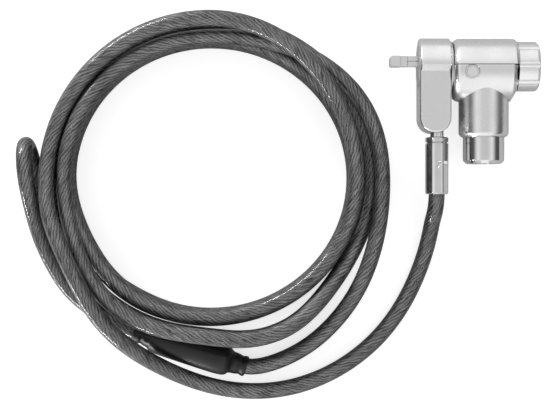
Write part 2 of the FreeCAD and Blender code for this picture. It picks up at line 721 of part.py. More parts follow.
def end_ferrule():
    """Octagonal bar with a turned groove, drilled for the stud above and the cable below."""
    bar = doc.addObject("Part::Prism", "Bar")
    bar.Polygon = 8
    bar.setExpression("Circumradius", "Size.ferrule_flats / 2 / cos(22.5)")
    bar.setExpression("Height", "Size.ferrule_length")
    upright = FreeCAD.Rotation(V(1, 0, 0), 90)
    bar.Placement = FreeCAD.Placement(V(), upright * FreeCAD.Rotation(V(0, 0, 1), 22.5))
    bind(bar, base_x=named("stud_x"), base_y=named("ferrule_top"))
    top, end = size("ferrule_top"), size("ferrule_top") - size("ferrule_length")
    centre = ("stud_x", "0")
    mouth = "ferrule_top - ferrule_length"
    round_off = cylinder("ferrule_flats / 2 + 0.12", mouth, "ferrule_top", "Y", centre)

    def either_rim(edge):
        return ring_at("Y", top)(edge) or ring_at("Y", end)(edge)

    round_off = beveled(round_off, "ferrule_bevel", "ferrule_bevel", either_rim)
    groove = cut(
        cylinder("ferrule_flats", "groove_y - groove_width / 2", "groove_y + groove_width / 2", "Y", centre),
        [cylinder("ferrule_flats / 2 - ferrule_groove", "groove_y - 1", "groove_y + 1", "Y", centre)],
    )
    thread = cylinder("stud_thread", "thread_end", "ferrule_top + 1", "Y", centre)
    socket = cylinder("jacket_radius", mouth + " - 1", "thread_end - 1.5", "Y", centre)
    stake = box(("-0.9", "0.9"), ("-0.3", "0.3"), ("ferrule_flats / 2 - 0.15", "ferrule_flats"))
    stake.Placement = FreeCAD.Placement(V(), FreeCAD.Rotation(V(0, 0, 1), 55))
    bind(
        stake,
        base_x=named("stud_x"),
        base_y=named("ferrule_top - 8.9"),
        base_z=named("ferrule_flats / 2 - 0.15"),
    )
    return cut(common([bar, round_off]), [groove, thread, socket, stake], "end_ferrule")


# ---------------------------------------------------------------- cable

def smooth(value):
    value = min(max(value, 0.0), 1.0)
    return value * value * (3 - 2 * value)


def ramp(angle, start, end):
    return smooth((angle - start) / (end - start))


# The coil is wound clockwise; its angle is 0 at the left, 90 at the far side, 180 at the right.
# A strand's place in the bundle is (column, layer): columns count outwards, layers upwards.
# From SHIFT_FROM to SHIFT_TO all strands move on together to the next place around the bundle.
SHIFT_FROM, SHIFT_TO = 300.0, 362.0
CLIMB_FROM, CLIMB_TO = 205.0, 258.0
CROSS_FROM, CROSS_TO = 92.0, 168.0
SETTLE_FROM, SETTLE_TO = -32.0, 12.0
OUTERMOST = 1.55
LIFTED = 2.08
RIDING = 3.7


def shifting(strand, angle):
    """Places of the five strands while each rolls round its neighbour to the next place."""
    amount = ramp(angle, SHIFT_FROM, SHIFT_TO)
    swing = amount * math.pi / 2
    low = (amount, 0.0)
    inner = (low[0] - math.sin(swing), low[1] + math.cos(swing))
    upper = (inner[0], inner[1] + 1.0)
    lift = LIFTED - 2.0
    places = {
        "low": low,
        "inner": inner,
        "upper": upper,
        "top": (upper[0] + 1.0 - amount, upper[1] + 1.0 + lift * (1.0 - amount)),
        "outer": (1.0, LIFTED + (1.0 - LIFTED) * amount),
    }
    return places[strand]


def bundle_place(turn, angle):
    """Column and layer of the strand on a given turn, counted from the lock's end."""
    if turn == 0 and angle < SHIFT_FROM:
        column = 1.0 - ramp(angle, CROSS_FROM, CROSS_TO)
        layer = RIDING - (RIDING - 2.0) * ramp(angle, SETTLE_FROM, SETTLE_TO)
        layer += ramp(angle, 20.0, CROSS_FROM) - ramp(angle, CROSS_TO, CLIMB_FROM)
        return column, layer
    if turn == 3 and angle < SHIFT_FROM:
        return 1.0, LIFTED * ramp(angle, CLIMB_FROM, CLIMB_TO)
    if turn == 4 and angle < SHIFT_FROM:
        return 1.0, 1.0 + LIFTED * ramp(angle, CLIMB_FROM - 3.0, CLIMB_TO - 3.0)
    if turn == 5:
        return OUTERMOST * ramp(angle, CROSS_FROM - 4.0, CROSS_TO - 4.0), 2.0
    return shifting(("upper", "inner", "low", "outer", "top")[turn], angle)


def spread(angle):
    """The outer column stands off the inner one where the coil opens near the sleeve."""
    return 1.0 + 0.55 * ramp(angle, 215.0, 240.0) * (1.0 - ramp(angle, 250.0, 275.0))


def coil_point(turn, angle):
    column, layer = bundle_place(turn, angle)
    turned = math.radians(angle)
    x = -math.cos(turned) * size("coil_half_x")
    y = math.sin(turned) * size("coil_half_y")
    reach = math.hypot(x, y)
    stand_off = column * size("pitch") * spread(angle)
    grow = (reach + stand_off) / reach
    low = size("table_z") + size("jacket_radius")
    return V(size("coil_x") + x * grow, size("coil_y") + y * grow, low + layer * size("pitch"))


def tail_points():
    """From the hinge below the ferrule round under the coil, rising to lie over its left side."""
    x = size("stud_x")
    y = size("hinge_y")
    low = size("table_z") + size("jacket_radius")
    return [
        V(x - 1.0, y, low + 2.4), V(x - 2.5, y - 7.0, low + 0.8), V(x - 5.5, y - 15.7, low),
        V(x - 10.0, y - 24.4, low), V(x - 16.6, y - 33.0, low), V(x - 26.7, y - 41.2, low),
        V(x - 39.7, y - 47.0, low), V(x - 52.7, y - 48.8, low), V(x - 65.8, y - 46.9, low + 2.0),
        V(x - 78.8, y - 41.2, low + 8.0), V(x - 87.5, y - 35.4, low + 13.5),
        V(x - 96.2, y - 26.8, low + 17.4),
    ]


def sleeve_frame():
    """Axis direction of the sleeve in plan, its middle, and the heights of its two ropes."""
    turn = math.radians(size("sleeve_turn"))
    axis = V(math.cos(turn), math.sin(turn), 0)
    middle = V(size("sleeve_x"), size("sleeve_y"), size("table_z") + size("sleeve_height") / 2)
    return axis, middle, size("strand_half")


def branch_points():
    """From the coil's right side down into the sleeve, on the lower of its two rope paths."""
    axis, middle, drop = sleeve_frame()
    inside = middle + axis * (size("sleeve_length") / 2) - V(0, 0, drop)
    return [
        V(-12.4, -50.5, 2.6), V(-16.2, -62.0, 0.8), V(-22.6, -72.4, -2.2),
        V(-31.5, -81.0, -4.6), V(-40.0, -85.6, -5.4), inside, inside - axis * 8, inside - axis * 17,
    ]


def loop_points():
    """Out of the sleeve's far end on the lower path, round the standing loop and back above."""
    axis, middle, drop = sleeve_frame()
    mouth = middle - axis * (size("sleeve_length") / 2)
    low = size("table_z") + size("jacket_radius")
    outward = [
        mouth - V(0, 0, drop) + axis * 8, mouth - V(0, 0, drop), V(-91.0, -72.4, low),
        V(-99.4, -66.4, low), V(-105.2, -57.9, low), V(-109.1, -49.1, low),
        V(-111.3, -40.1, low), V(-111.9, -31.3, low),
    ]
    back = [
        V(-112.9, -31.3, 5.2), V(-111.6, -40.1, 2.4), V(-109.3, -49.1, 0.6), V(-105.2, -57.9, 0.45),
        V(-99.2, -66.2, 0.35), V(-90.8, -72.2, 0.0), mouth + V(0, 0, drop),
        mouth + V(0, 0, drop) + axis * 8, mouth + V(0, 0, drop) + axis * 20,
    ]
    bend = [V(-113.2, -24.3, -4.6), V(-113.6, -22.3, -0.5), V(-113.5, -24.5, 3.7)]
    return outward + bend + back


def coil_points():
    """The turns of the coil, from where the tail joins it to where the branch leaves."""
    points = []
    step = 15.0
    first, last = -30.0, 5 * 360.0 + 180.0
    count = int((last - first) / step)
    for i in range(count + 1):
        angle = first + i * step
        turn = max(int(angle // 360), 0)
        points.append(coil_point(turn, angle - 360.0 * turn))
    return points


def spline(points):
    curve = Part.BSplineCurve()
    curve.interpolate(points)
    return curve


# The round arcs that make up the cable are about half of these long; ARC_LIMIT is the
# bend below which one is drawn straight.
COIL_STEP = 14.0
LOOP_STEP = 4.5
ARC_LIMIT = 1e-7


def cable_curve():
    """Centreline from the hinge, through the sleeve and round the loop, back into the crimp."""
    return spline(tail_points() + coil_points() + branch_points() + loop_points())


def arc_from(start, corner, end):
    """The round arc between two points whose tangents meet at the corner."""
    weight = (end - start).Length / 2 / (corner - start).Length
    if 1 - weight < ARC_LIMIT:
        return Part.LineSegment(start, end).toShape()
    middle = (start + corner * (2 * weight) + end) * (1 / (2 + 2 * weight))
    return Part.Arc(start, middle, end).toShape()


def two_arcs(start, leaving, end, arriving):
    """Two smoothly joined arcs from one point and direction to another."""
    step = end - start
    both = leaving + arriving
    turning = 2 * (1 - leaving.dot(arriving))
    if turning < ARC_LIMIT:
        reach = step.dot(step) / (2 * step.dot(both))
    else:
        reach = (math.sqrt(step.dot(both) ** 2 + turning * step.dot(step)) - step.dot(both)) / turning
    joint = (start + end + (leaving - arriving) * reach) * 0.5
    return [
        arc_from(start, start + leaving * reach, joint),
        arc_from(joint, end - arriving * reach, end),
    ]


def arcs_along(curve, first, last, step):
    """Smoothly joined arcs that follow part of a curve, about two to each step of its length."""
    edge = curve.toShape(first, last)
    count = max(round(edge.Length / step), 1)
    stations = [edge.getParameterByLength(edge.Length * i / count) for i in range(count + 1)]
    arcs = []
    for low, high in zip(stations, stations[1:]):
        arcs += two_arcs(edge.valueAt(low), edge.tangentAt(low), edge.valueAt(high), edge.tangentAt(high))
    return arcs


def rod(path, radius):
    """A solid round rod along a wire."""
    first = path.Edges[0]
    rim = Part.Circle(first.valueAt(first.FirstParameter), first.tangentAt(first.FirstParameter), radius)
    return path.makePipe(Part.Face(Part.Wire(rim.toShape())))


def is_flat(face):
    return isinstance(face.Surface, Part.Plane)


def tube(path, outer, inner):
    """A round tube along a wire: an outside wall, an inside wall and two flat ends."""
    outside, inside = rod(path, outer), rod(path, inner)
    faces = [face for face in outside.Faces if not is_flat(face)]
    for face in inside.Faces:
        if not is_flat(face):
            wall = face.copy()
            wall.reverse()
            faces.append(wall)
    for cap in [face for face in outside.Faces if is_flat(face)]:
        flats = [face for face in inside.Faces if is_flat(face)]
        hole = min(flats, key=lambda face: (face.CenterOfMass - cap.CenterOfMass).Length)
        end = Part.Face([cap.OuterWire, hole.OuterWire])
        end.validate()
        if end.normalAt(0, 0).dot(cap.normalAt(0, 0)) < 0:
            end.reverse()
        faces.append(end)
    return Part.Solid(Part.Shell(faces))


def feature(label, shape):
    obj = doc.addObject("Part::Feature", label)
    obj.Shape = shape
    obj.Label = label
    return obj


def cable_nodes():
    """Rope and jacket from the hinge to the loop; the jacket is stripped inside the crimp."""
    curve = cable_curve()
    axis, middle, drop = sleeve_frame()
    half = size("sleeve_length") / 2 - size("jacket_in")
    lower = middle - V(0, 0, drop)
    upper = middle + V(0, 0, drop)
    first, last = curve.FirstParameter, curve.LastParameter
    stripped_from = curve.parameter(lower + axis * half)
    stripped_to = curve.parameter(lower - axis * half)
    loop_end = curve.parameter(upper - axis * half)
    main = arcs_along(curve, first, stripped_from, COIL_STEP)
    crimped = arcs_along(curve, stripped_from, stripped_to, COIL_STEP)
    loop = arcs_along(curve, stripped_to, loop_end, LOOP_STEP)
    end = arcs_along(curve, loop_end, last, COIL_STEP)
    outer, inner = size("jacket_radius"), size("rope_radius")
    return [
        feature("coil_rope", rod(Part.Wire(main + crimped + loop + end), inner)),
        feature("coil_jacket", tube(Part.Wire(main), outer, inner)),
        feature("loop_jacket", tube(Part.Wire(loop), outer, inner)),
    ]


def tail_nodes():
    """The short stretch between the ferrule and the cable's hinge."""
    x = size("stud_x")
    inside = size("thread_end") - 1.6
    end = tail_points()[0]
    gap = size("hinge_gap")
    mouth = size("ferrule_top") - size("ferrule_length")
    curve = spline([V(x, inside, 0), V(x, inside - 4, 0), V(x, mouth, 0), end + V(0.15, 1, 0.3) * gap])
    path = Part.Wire(arcs_along(curve, curve.FirstParameter, curve.LastParameter, LOOP_STEP))
    return [
        feature("tail_rope", rod(path, size("rope_radius"))),
        feature("tail_jacket", tube(path, size("jacket_radius"), size("rope_radius"))),
    ]


def along_sleeve(obj):
    """Turns a piece made along X at the origin into the sleeve's place."""
    middle = sleeve_frame()[1]
    obj.Placement = FreeCAD.Placement(middle, FreeCAD.Rotation(V(0, 0, 1), size("sleeve_turn")))
    return obj


def stadium(width, height, length):
    """A flat-sided oval bar centred on the origin, along X, standing on edge."""
    half = "(%s) / 2" % width
    low, high = "%s - (%s) / 2" % (half, height), "(%s) / 2 - %s" % (height, half)
    ends = ("0 - (%s) / 2" % length, "(%s) / 2" % length)
    middle = box(ends, ("0 - " + half, half), (low, high))
    bar = fuse([cylinder(half, ends[0], ends[1], "X", ("0", z)) for z in (low, high)] + [middle])
    bar.Refine = True
    return bar


def loop_sleeve():
    """Moulded cover: an oval body with a small collar at each mouth, hollow for the crimp."""
    body = stadium("sleeve_width", "sleeve_height", "sleeve_length - 2 * collar_length")
    far_collar = stadium("collar_width", "sleeve_height - 0.8", "sleeve_length")
    keep_far = box(
        ("0 - sleeve_length / 2", "0"),
        ("0 - sleeve_width", "sleeve_width"),
        ("0 - sleeve_height", "sleeve_height"),
    )
    near_collar = cylinder("collar_width / 2", "0", "sleeve_length / 2", "X", ("0", "0 - strand_half"))
    solid = fuse([body, common([far_collar, keep_far]), near_collar])
    hollow = stadium("crimp_width", "crimp_height", "crimp_length")
    levels = ("0 - strand_half", "strand_half")
    cables = [cylinder("jacket_radius", "0 - sleeve_length", "0", "X", ("0", z)) for z in levels]
    cables.append(cylinder("jacket_radius", "0", "sleeve_length", "X", ("0", "0 - strand_half")))
    return along_sleeve(cut(solid, [hollow] + cables, "loop_sleeve"))


def loop_crimp():
    """Pressed metal collar round both ropes."""
    solid = stadium("crimp_width", "crimp_height", "crimp_length")
    levels = ("0 - strand_half", "strand_half")
    ropes = [cylinder("rope_radius", "0 - sleeve_length", "sleeve_length", "X", ("0", z)) for z in levels]
    return along_sleeve(cut(solid, ropes, "loop_crimp"))


def build():
    """All sub-parts, each in its own place in the assembly."""
    made = [maker() for maker in (
        lock_body, top_cover, retaining_pins, neck_bush, strap_washer, t_bar, t_bar_pin,
        lug_carriage, drive_spindle, spindle_clip, knob, knob_screw, knob_cap, knob_o_ring,
        key_shell, shell_pin, key_plug, detainer_discs, spacer_discs, sidebar, plug_circlip,
        tail_cam, swivel_strap, swivel_stud, stud_washer, end_ferrule, loop_sleeve, loop_crimp,
    )]
    return made + cable_nodes() + tail_nodes()


def check(nodes):
    """Stops if any object failed, or if a sub-part's shape is empty or not valid."""
    doc.recompute()
    for obj in doc.Objects:
        assert not {"Invalid", "Error"} & set(obj.State), "%s (%s): %s" % (obj.Name, obj.Label, obj.State)
    for obj in nodes:
        assert not obj.Shape.isNull(), "%s has no shape" % obj.Label
        assert obj.Shape.Solids, "%s has no solid" % obj.Label
        assert obj.Shape.isValid(), "%s is not valid" % obj.Label


def write(nodes):
    os.makedirs("parts", exist_ok=True)
    for obj in nodes:
        obj.Shape.exportStep(os.path.join("parts", obj.Label + ".step"))


nodes = build()
check(nodes)
write(nodes)
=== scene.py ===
"""Looks of a laptop cable lock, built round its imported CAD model.

The metal parts keep their CAD shape and get finishes here. The cable is rebuilt on the CAD rope's
own centreline as twisted wire strands in a smoke-clear jacket, and the moulded sleeve is rebuilt
with its collars.
"""
import json
import math

import bpy
import numpy as np
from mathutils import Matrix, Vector, kdtree


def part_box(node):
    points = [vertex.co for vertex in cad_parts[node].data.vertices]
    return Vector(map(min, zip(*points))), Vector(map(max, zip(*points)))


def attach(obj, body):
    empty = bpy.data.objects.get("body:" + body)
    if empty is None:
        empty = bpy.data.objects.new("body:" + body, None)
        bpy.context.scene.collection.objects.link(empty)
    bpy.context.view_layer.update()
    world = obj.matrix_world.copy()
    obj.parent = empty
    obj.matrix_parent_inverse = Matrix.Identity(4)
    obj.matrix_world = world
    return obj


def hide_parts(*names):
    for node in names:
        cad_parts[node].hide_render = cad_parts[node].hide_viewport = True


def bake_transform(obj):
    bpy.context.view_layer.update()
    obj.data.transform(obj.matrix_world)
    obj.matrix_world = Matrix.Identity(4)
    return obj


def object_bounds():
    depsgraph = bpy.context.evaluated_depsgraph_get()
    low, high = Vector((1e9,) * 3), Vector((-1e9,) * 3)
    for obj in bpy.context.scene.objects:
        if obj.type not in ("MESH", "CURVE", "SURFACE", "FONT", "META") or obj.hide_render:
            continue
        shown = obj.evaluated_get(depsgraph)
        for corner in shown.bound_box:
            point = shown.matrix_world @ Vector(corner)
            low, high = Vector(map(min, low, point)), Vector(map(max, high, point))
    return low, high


MM = 0.001

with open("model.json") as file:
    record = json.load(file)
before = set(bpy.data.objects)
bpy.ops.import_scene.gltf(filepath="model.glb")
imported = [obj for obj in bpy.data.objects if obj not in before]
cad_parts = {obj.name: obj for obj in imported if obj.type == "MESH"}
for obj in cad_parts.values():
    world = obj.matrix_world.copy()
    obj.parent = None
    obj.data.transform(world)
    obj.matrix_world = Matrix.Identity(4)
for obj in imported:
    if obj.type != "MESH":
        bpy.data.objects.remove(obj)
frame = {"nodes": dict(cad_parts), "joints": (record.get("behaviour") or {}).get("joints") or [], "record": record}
cad_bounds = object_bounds()
NODES = frame["nodes"]
SLOT_OF = {part["node"]: part["material_slot"] for part in frame["record"]["subparts"]}
JOINTS = {joint["name"]: joint for joint in frame["joints"]}


# ---------------------------------------------------------------- node helpers

class Tree:
    """A material or world node tree with short calls for adding and joining nodes."""

    def __init__(self, owner):
        owner.use_nodes = True
        self.nodes = owner.node_tree.nodes
        self.links = owner.node_tree.links
        self.nodes.clear()

    def add(self, kind, values=None, **settings):
        node = self.nodes.new("ShaderNode" + kind)
        for key, value in settings.items():
            setattr(node, key, value)
        for key, value in (values or {}).items():
            if isinstance(value, bpy.types.NodeSocket):
                self.links.new(value, node.inputs[key])
            else:
                node.inputs[key].default_value = value
        return node

    def math(self, operation, first, second=0.0, clamp=False):
        node = self.add("Math", {0: first, 1: second}, operation=operation, use_clamp=clamp)
        return node.outputs[0]

    def ramp(self, value, stops):
        node = self.add("ValToRGB", {"Fac": value})
        elements = node.color_ramp.elements
        while len(elements) < len(stops):
            elements.new(0.5)
        for element, (place, grey) in zip(elements, stops):
            element.position = place
            element.color = (grey, grey, grey, 1.0)
        return node.outputs["Color"]

    def span(self, value, low, high, start=0.0, end=1.0):
        """start below low, end above high, smooth between."""
        node = self.add(
            "MapRange",
            {"Value": value, "From Min": low, "From Max": high, "To Min": start, "To Max": end},
            interpolation_type="SMOOTHSTEP",
        )
        return node.outputs["Result"]

    def noise(self, vector, scale, detail=4.0, roughness=0.5):
        values = {"Vector": vector, "Scale": scale, "Detail": detail, "Roughness": roughness}
        return self.add("TexNoise", values).outputs["Fac"]

    def finish(self, shader, kind="OutputMaterial"):
        output = self.add(kind)
        self.links.new(shader, output.inputs["Surface"])


def new_tree(name):
    material = bpy.data.materials.new(name)
    return material, Tree(material)


# ---------------------------------------------------------------- materials

# How near another surface has to be for the painted shade to darken this one, and half the width of a parting
# line.
PAINTED_SHADE_REACH = 0.7 * MM
SEAM_HALF = 0.11 * MM


def metal(name, grey, roughness, grain=0.1, tint=(1.0, 1.0, 1.0), edge_mm=0.18, seam_y=None):
    """Plated or machined metal: fine grain, uneven polish, lightly broken edges and painted shade darkening it
    where another surface is close.

    seam_y is the height of a parting line round a casting made in two halves.
    """
    material, tree = new_tree(name)
    place = tree.add("TexCoord").outputs["Object"]
    fine = tree.noise(place, 2600.0, 6.0, 0.6)
    broad = tree.noise(place, 130.0, 3.0)
    rough = tree.span(broad, 0.3, 0.7, roughness * 0.82, roughness * 1.2)
    colour = tree.add(
        "MixRGB",
        {
            "Fac": tree.span(broad, 0.35, 0.7),
            "Color1": tuple(grey * t for t in tint) + (1.0,),
            "Color2": tuple(grey * 0.93 * t for t in tint) + (1.0,),
        },
    ).outputs["Color"]
    # Painted shade: the base colour is darkened where another surface is within reach, as in narrow gaps and
    # corners.
    painted_crevice_shade = tree.add("AmbientOcclusion", {"Distance": PAINTED_SHADE_REACH}, samples=8).outputs["AO"]
    shade = tree.ramp(painted_crevice_shade, [(0.15, 0.12), (0.8, 1.0)])
    if seam_y is not None:
        up = tree.add("SeparateXYZ", {"Vector": place}).outputs["Y"]
        off = tree.math("ABSOLUTE", tree.math("SUBTRACT", up, seam_y))
        line = tree.span(off, SEAM_HALF * 0.6, SEAM_HALF * 1.4, 0.12, 1.0)
        shade = tree.add("MixRGB", {"Fac": 1.0, "Color1": shade, "Color2": line}, blend_type="MULTIPLY")
        shade = shade.outputs["Color"]
    colour = tree.add("MixRGB", {"Fac": 1.0, "Color1": colour, "Color2": shade}, blend_type="MULTIPLY")
    colour = colour.outputs["Color"]
    edge = tree.add("Bevel", {"Radius": edge_mm * MM}, samples=6).outputs["Normal"]
    bump = tree.add(
        "Bump",
        {"Strength": grain, "Distance": 0.03 * MM, "Height": fine, "Normal": edge},
    ).outputs["Normal"]
    shader = tree.add(
        "BsdfPrincipled",
        {"Base Color": colour, "Metallic": 1.0, "Roughness": rough, "Normal": bump},
    )
    tree.finish(shader.outputs["BSDF"])
    return material


def turned_metal(name, grey, roughness, tint=(1.0, 1.0, 1.0)):
    """Lathe-turned metal with fine rings from the tool."""
    material, tree = new_tree(name)
    place = tree.add("TexCoord").outputs["Object"]
    rings = tree.add(
        "TexWave",
        {"Vector": place, "Scale": 900.0, "Distortion": 1.5, "Detail": 2.0},
        wave_type="RINGS",
        rings_direction="SPHERICAL",
    ).outputs["Fac"]
    broad = tree.noise(place, 160.0)
    bump = tree.add("Bump", {"Strength": 0.12, "Distance": 0.02 * MM, "Height": rings})
    shader = tree.add(
        "BsdfPrincipled",
        {
            "Base Color": tuple(grey * t for t in tint) + (1.0,),
            "Metallic": 1.0,
            "Roughness": tree.span(broad, 0.3, 0.7, roughness * 0.8, roughness * 1.25),
            "Normal": bump.outputs["Normal"],
        },
    )
    tree.finish(shader.outputs["BSDF"])
    return material


def moulded(name, grey, roughness, grain_scale=1500.0, grain=0.35):
    """Matt moulded plastic or rubber with a fine spark-eroded grain and faint scuffs."""
    material, tree = new_tree(name)
    place = tree.add("TexCoord").outputs["Object"]
    fine = tree.noise(place, grain_scale, 3.0)
    broad = tree.noise(place, 90.0)
    bump = tree.add("Bump", {"Strength": grain, "Distance": 0.05 * MM, "Height": fine})
    shader = tree.add(
        "BsdfPrincipled",
        {
            "Base Color": tree.ramp(broad, [(0.3, grey * 0.8), (0.75, grey * 1.35)]),
            "Roughness": tree.span(broad, 0.3, 0.7, roughness * 0.85, roughness * 1.15),
            "Specular IOR Level": 0.45,
            "Normal": bump.outputs["Normal"],
        },
    )
    tree.finish(shader.outputs["BSDF"])
    return material


# The rope's map runs along it in metres (U) and once round it, turning with the strands (V).
STRANDS = 14
WIRES_PER_STRAND = 2
# How far the strands wander sideways, as a share of the whole turn.
STRAND_WAVER = 0.12
# Wires passed per metre along the rope, which sets the wires across their strands.
WIRE_SLANT = 900.0
# Colour of the painted glints on the wires' crowns.
PAINTED_GLINT_COLOUR = (0.9, 0.91, 0.91, 1.0)


def wire_rope():
    """Bright wire strands with the wires' own lay: painted shading lighter on each wire's crown and darker on its
    flanks, painted shade in the grooves between strands, darker streaks and patches, and painted glints on the
    crowns.
    """
    material, tree = new_tree("wire_rope")
    uv = tree.add("UVMap").outputs["UV"]
    split = tree.add("SeparateXYZ", {"Vector": uv})
    along, round_it = split.outputs["X"], split.outputs["Y"]
    place = tree.add("TexCoord").outputs["Object"]
    waver = tree.noise(place, 380.0, 3.0)
    drift = tree.math("MULTIPLY", tree.math("SUBTRACT", waver, 0.5), STRAND_WAVER)
    round_it = tree.math("ADD", round_it, drift)
    strand = tree.math("FRACT", tree.math("MULTIPLY", round_it, float(STRANDS)))
    groove = tree.math("ABSOLUTE", tree.math("SUBTRACT", strand, 0.5))
    wires = tree.math("MULTIPLY", round_it, float(STRANDS * WIRES_PER_STRAND))
    slant = tree.math("MULTIPLY", along, WIRE_SLANT)
    wire = tree.math("FRACT", tree.math("ADD", wires, slant))
    crown = tree.math("ABSOLUTE", tree.math("SUBTRACT", wire, 0.5))
    broad = tree.noise(place, 60.0)
    glint_speck = tree.noise(place, 1500.0, 2.0)
    stretched = tree.add(
        "CombineXYZ",
        {"X": tree.math("MULTIPLY", along, 230.0), "Y": tree.math("MULTIPLY", round_it, 20.0)},
    ).outputs["Vector"]
    streaks = tree.ramp(tree.noise(stretched, 1.0, 4.0, 0.6), [(0.34, 0.22), (0.5, 0.75), (0.64, 1.0)])
    # Painted shading: each wire lighter along its crown and darker on its flanks, and painted shade in the grooves
    # between strands.
    painted_wire_shading = tree.ramp(crown, [(0.0, 1.0), (0.28, 0.8), (0.5, 0.45)])
    painted_groove_shade = tree.ramp(groove, [(0.2, 1.0), (0.5, 0.22)])
    shade = tree.add(
        "MixRGB",
        {"Fac": 1.0, "Color1": painted_wire_shading, "Color2": painted_groove_shade},
        blend_type="MULTIPLY",
    )
    shade = tree.add(
        "MixRGB",
        {"Fac": 1.0, "Color1": shade.outputs["Color"], "Color2": streaks},
        blend_type="MULTIPLY",
    )
    level = tree.add(
        "MixRGB",
        {
            "Fac": 1.0,
            "Color1": shade.outputs["Color"],
            "Color2": tree.ramp(broad, [(0.3, 0.72), (0.7, 1.0)]),
        },
        blend_type="MULTIPLY",
    )
    # Painted glints: bright specks mixed into the colour near the wires' crowns.
    painted_glint = tree.span(glint_speck, 0.56, 0.66, 0.0, 1.0)
    painted_glint = tree.math("MULTIPLY", painted_glint, tree.span(crown, 0.0, 0.22, 1.0, 0.0))
    colour = tree.add(
        "MixRGB",
        {"Fac": painted_glint, "Color1": level.outputs["Color"], "Color2": PAINTED_GLINT_COLOUR},
    )
    height = tree.math(
        "ADD",
        tree.span(crown, 0.0, 0.5, 1.0, 0.0),
        tree.span(groove, 0.3, 0.5, 0.6, 0.0),
    )
    bump = tree.add("Bump", {"Strength": 0.4, "Distance": 0.1 * MM, "Height": height})
    shader = tree.add(
        "BsdfPrincipled",
        {
            "Base Color": colour.outputs["Color"],
            "Metallic": 0.45,
            "Roughness": 0.5,
            "Normal": bump.outputs["Normal"],
        },
    )
    tree.finish(shader.outputs["BSDF"])
    return material


def clear_jacket():
    """Smoke-clear glossy vinyl: see-through face on, darker towards its edges, sharp reflections."""
    material, tree = new_tree("clear_jacket")
    place = tree.add("TexCoord").outputs["Object"]
    ripple = tree.noise(place, 240.0, 2.0)
    bump = tree.add("Bump", {"Strength": 0.04, "Distance": 0.05 * MM, "Height": ripple}).outputs["Normal"]
    facing = tree.add("LayerWeight", {"Blend": 0.5}).outputs["Facing"]
    clear = tree.ramp(facing, [(0.0, 0.8), (0.55, 0.66), (0.95, 0.22)])
    through = tree.add("BsdfTransparent", {"Color": clear}).outputs["BSDF"]
    gloss = tree.add(
        "BsdfGlossy",
        {"Color": (0.95, 0.95, 0.95, 1.0), "Roughness": 0.1, "Normal": bump},
    ).outputs["BSDF"]
    amount = tree.add("Fresnel", {"IOR": 1.5, "Normal": bump}).outputs["Fac"]
    amount = tree.math("MULTIPLY", amount, 0.85)
    mix = tree.add("MixShader", {"Fac": amount, 1: through, 2: gloss})
    tree.finish(mix.outputs["Shader"])
    return material


MATERIALS = {
    "satin_metal": metal("satin_metal", 0.87, 0.27),
    "split_casting": metal("split_casting", 0.87, 0.27, seam_y=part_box("lock_body")[1].y),
    "chrome": metal("chrome", 0.86, 0.09, grain=0.04),
    "pin_steel": turned_metal("pin_steel", 0.93, 0.3),
    "steel": turned_metal("steel", 0.6, 0.28),
    "brass": turned_metal("brass", 0.8, 0.3, (1.0, 0.8, 0.42)),
    "seal": moulded("seal", 0.03, 0.6),
    "wire_rope": wire_rope(),
    "clear_jacket": clear_jacket(),
    "crimp_metal": metal("crimp_metal", 0.66, 0.38, grain=0.25),
    "black_sleeve": moulded("black_sleeve", 0.011, 0.38),
}


def dress_cad():
    """Gives every CAD node the material of its slot and smooths its round faces' shading."""
    for name, obj in NODES.items():
        obj.data.materials.clear()
        finish = "split_casting" if name in ("lock_body", "top_cover") else SLOT_OF[name]
        obj.data.materials.append(MATERIALS[finish])
        obj.data.shade_smooth()
        obj.data.set_sharp_from_angle(angle=math.radians(28))


# ---------------------------------------------------------------- the cable's path

def node_points(node):
    mesh = NODES[node].data
    places = np.zeros(len(mesh.vertices) * 3)
    mesh.vertices.foreach_get("co", places)
    return places.reshape(-1, 3)


def unit(vector):
    return vector / np.linalg.norm(vector)


def across(direction):
    """Two unit directions square to this one."""
    helper = np.array([0.0, 0.0, 1.0]) if abs(direction[2]) < 0.8 else np.array([1.0, 0.0, 0.0])
    first = unit(np.cross(direction, helper))
    return first, np.cross(direction, first)


def ring_centre(ring, centre, direction):
    """Centre of the circle on which the points lie, in the plane across the direction."""
    first, second = across(direction)
    flat = np.stack([(ring - centre) @ first, (ring - centre) @ second], axis=1)
    rows = np.c_[2 * flat, np.ones(len(flat))]
    (u, v, _), *_ = np.linalg.lstsq(rows, (flat ** 2).sum(axis=1), rcond=None)
    return centre + u * first + v * second


# The rod is followed in steps, each time through the mesh points within a slab either side. A slab
# with too few points is a miss, and that many misses in a row is the rod's end.
STEP = 0.6 * MM
SLAB = 1.1 * MM
FEWEST = 8
MOST_MISSES = 16


def rod_centreline(node, start, direction, radius):
    """Centreline of a round rod, followed through its own mesh from one end."""
    points = node_points(node)
    tree = kdtree.KDTree(len(points))
    for i, point in enumerate(points):
        tree.insert(point, i)
    tree.balance()
    centre, direction = np.array(start, float), unit(np.array(direction, float))
    line, misses = [], 0
    reach = math.hypot(radius, SLAB) * 1.06
    while misses < MOST_MISSES:
        near = points[[i for _, i, _ in tree.find_range(centre, reach)]]
        ring = near[np.abs((near - centre) @ direction) < SLAB] if len(near) else near
        ring = ring[np.linalg.norm(ring - centre, axis=1) > radius * 0.6] if len(ring) else ring
        if len(ring) < FEWEST:
            misses += 1
            centre = centre + direction * STEP
            continue
        misses = 0
        found = ring_centre(ring, centre, direction)
        line.append(found)
        if len(line) > 4:
            direction = unit(line[-1] - line[-4])
        centre = found + direction * STEP
    return np.array(line)


SPACING = 0.5 * MM


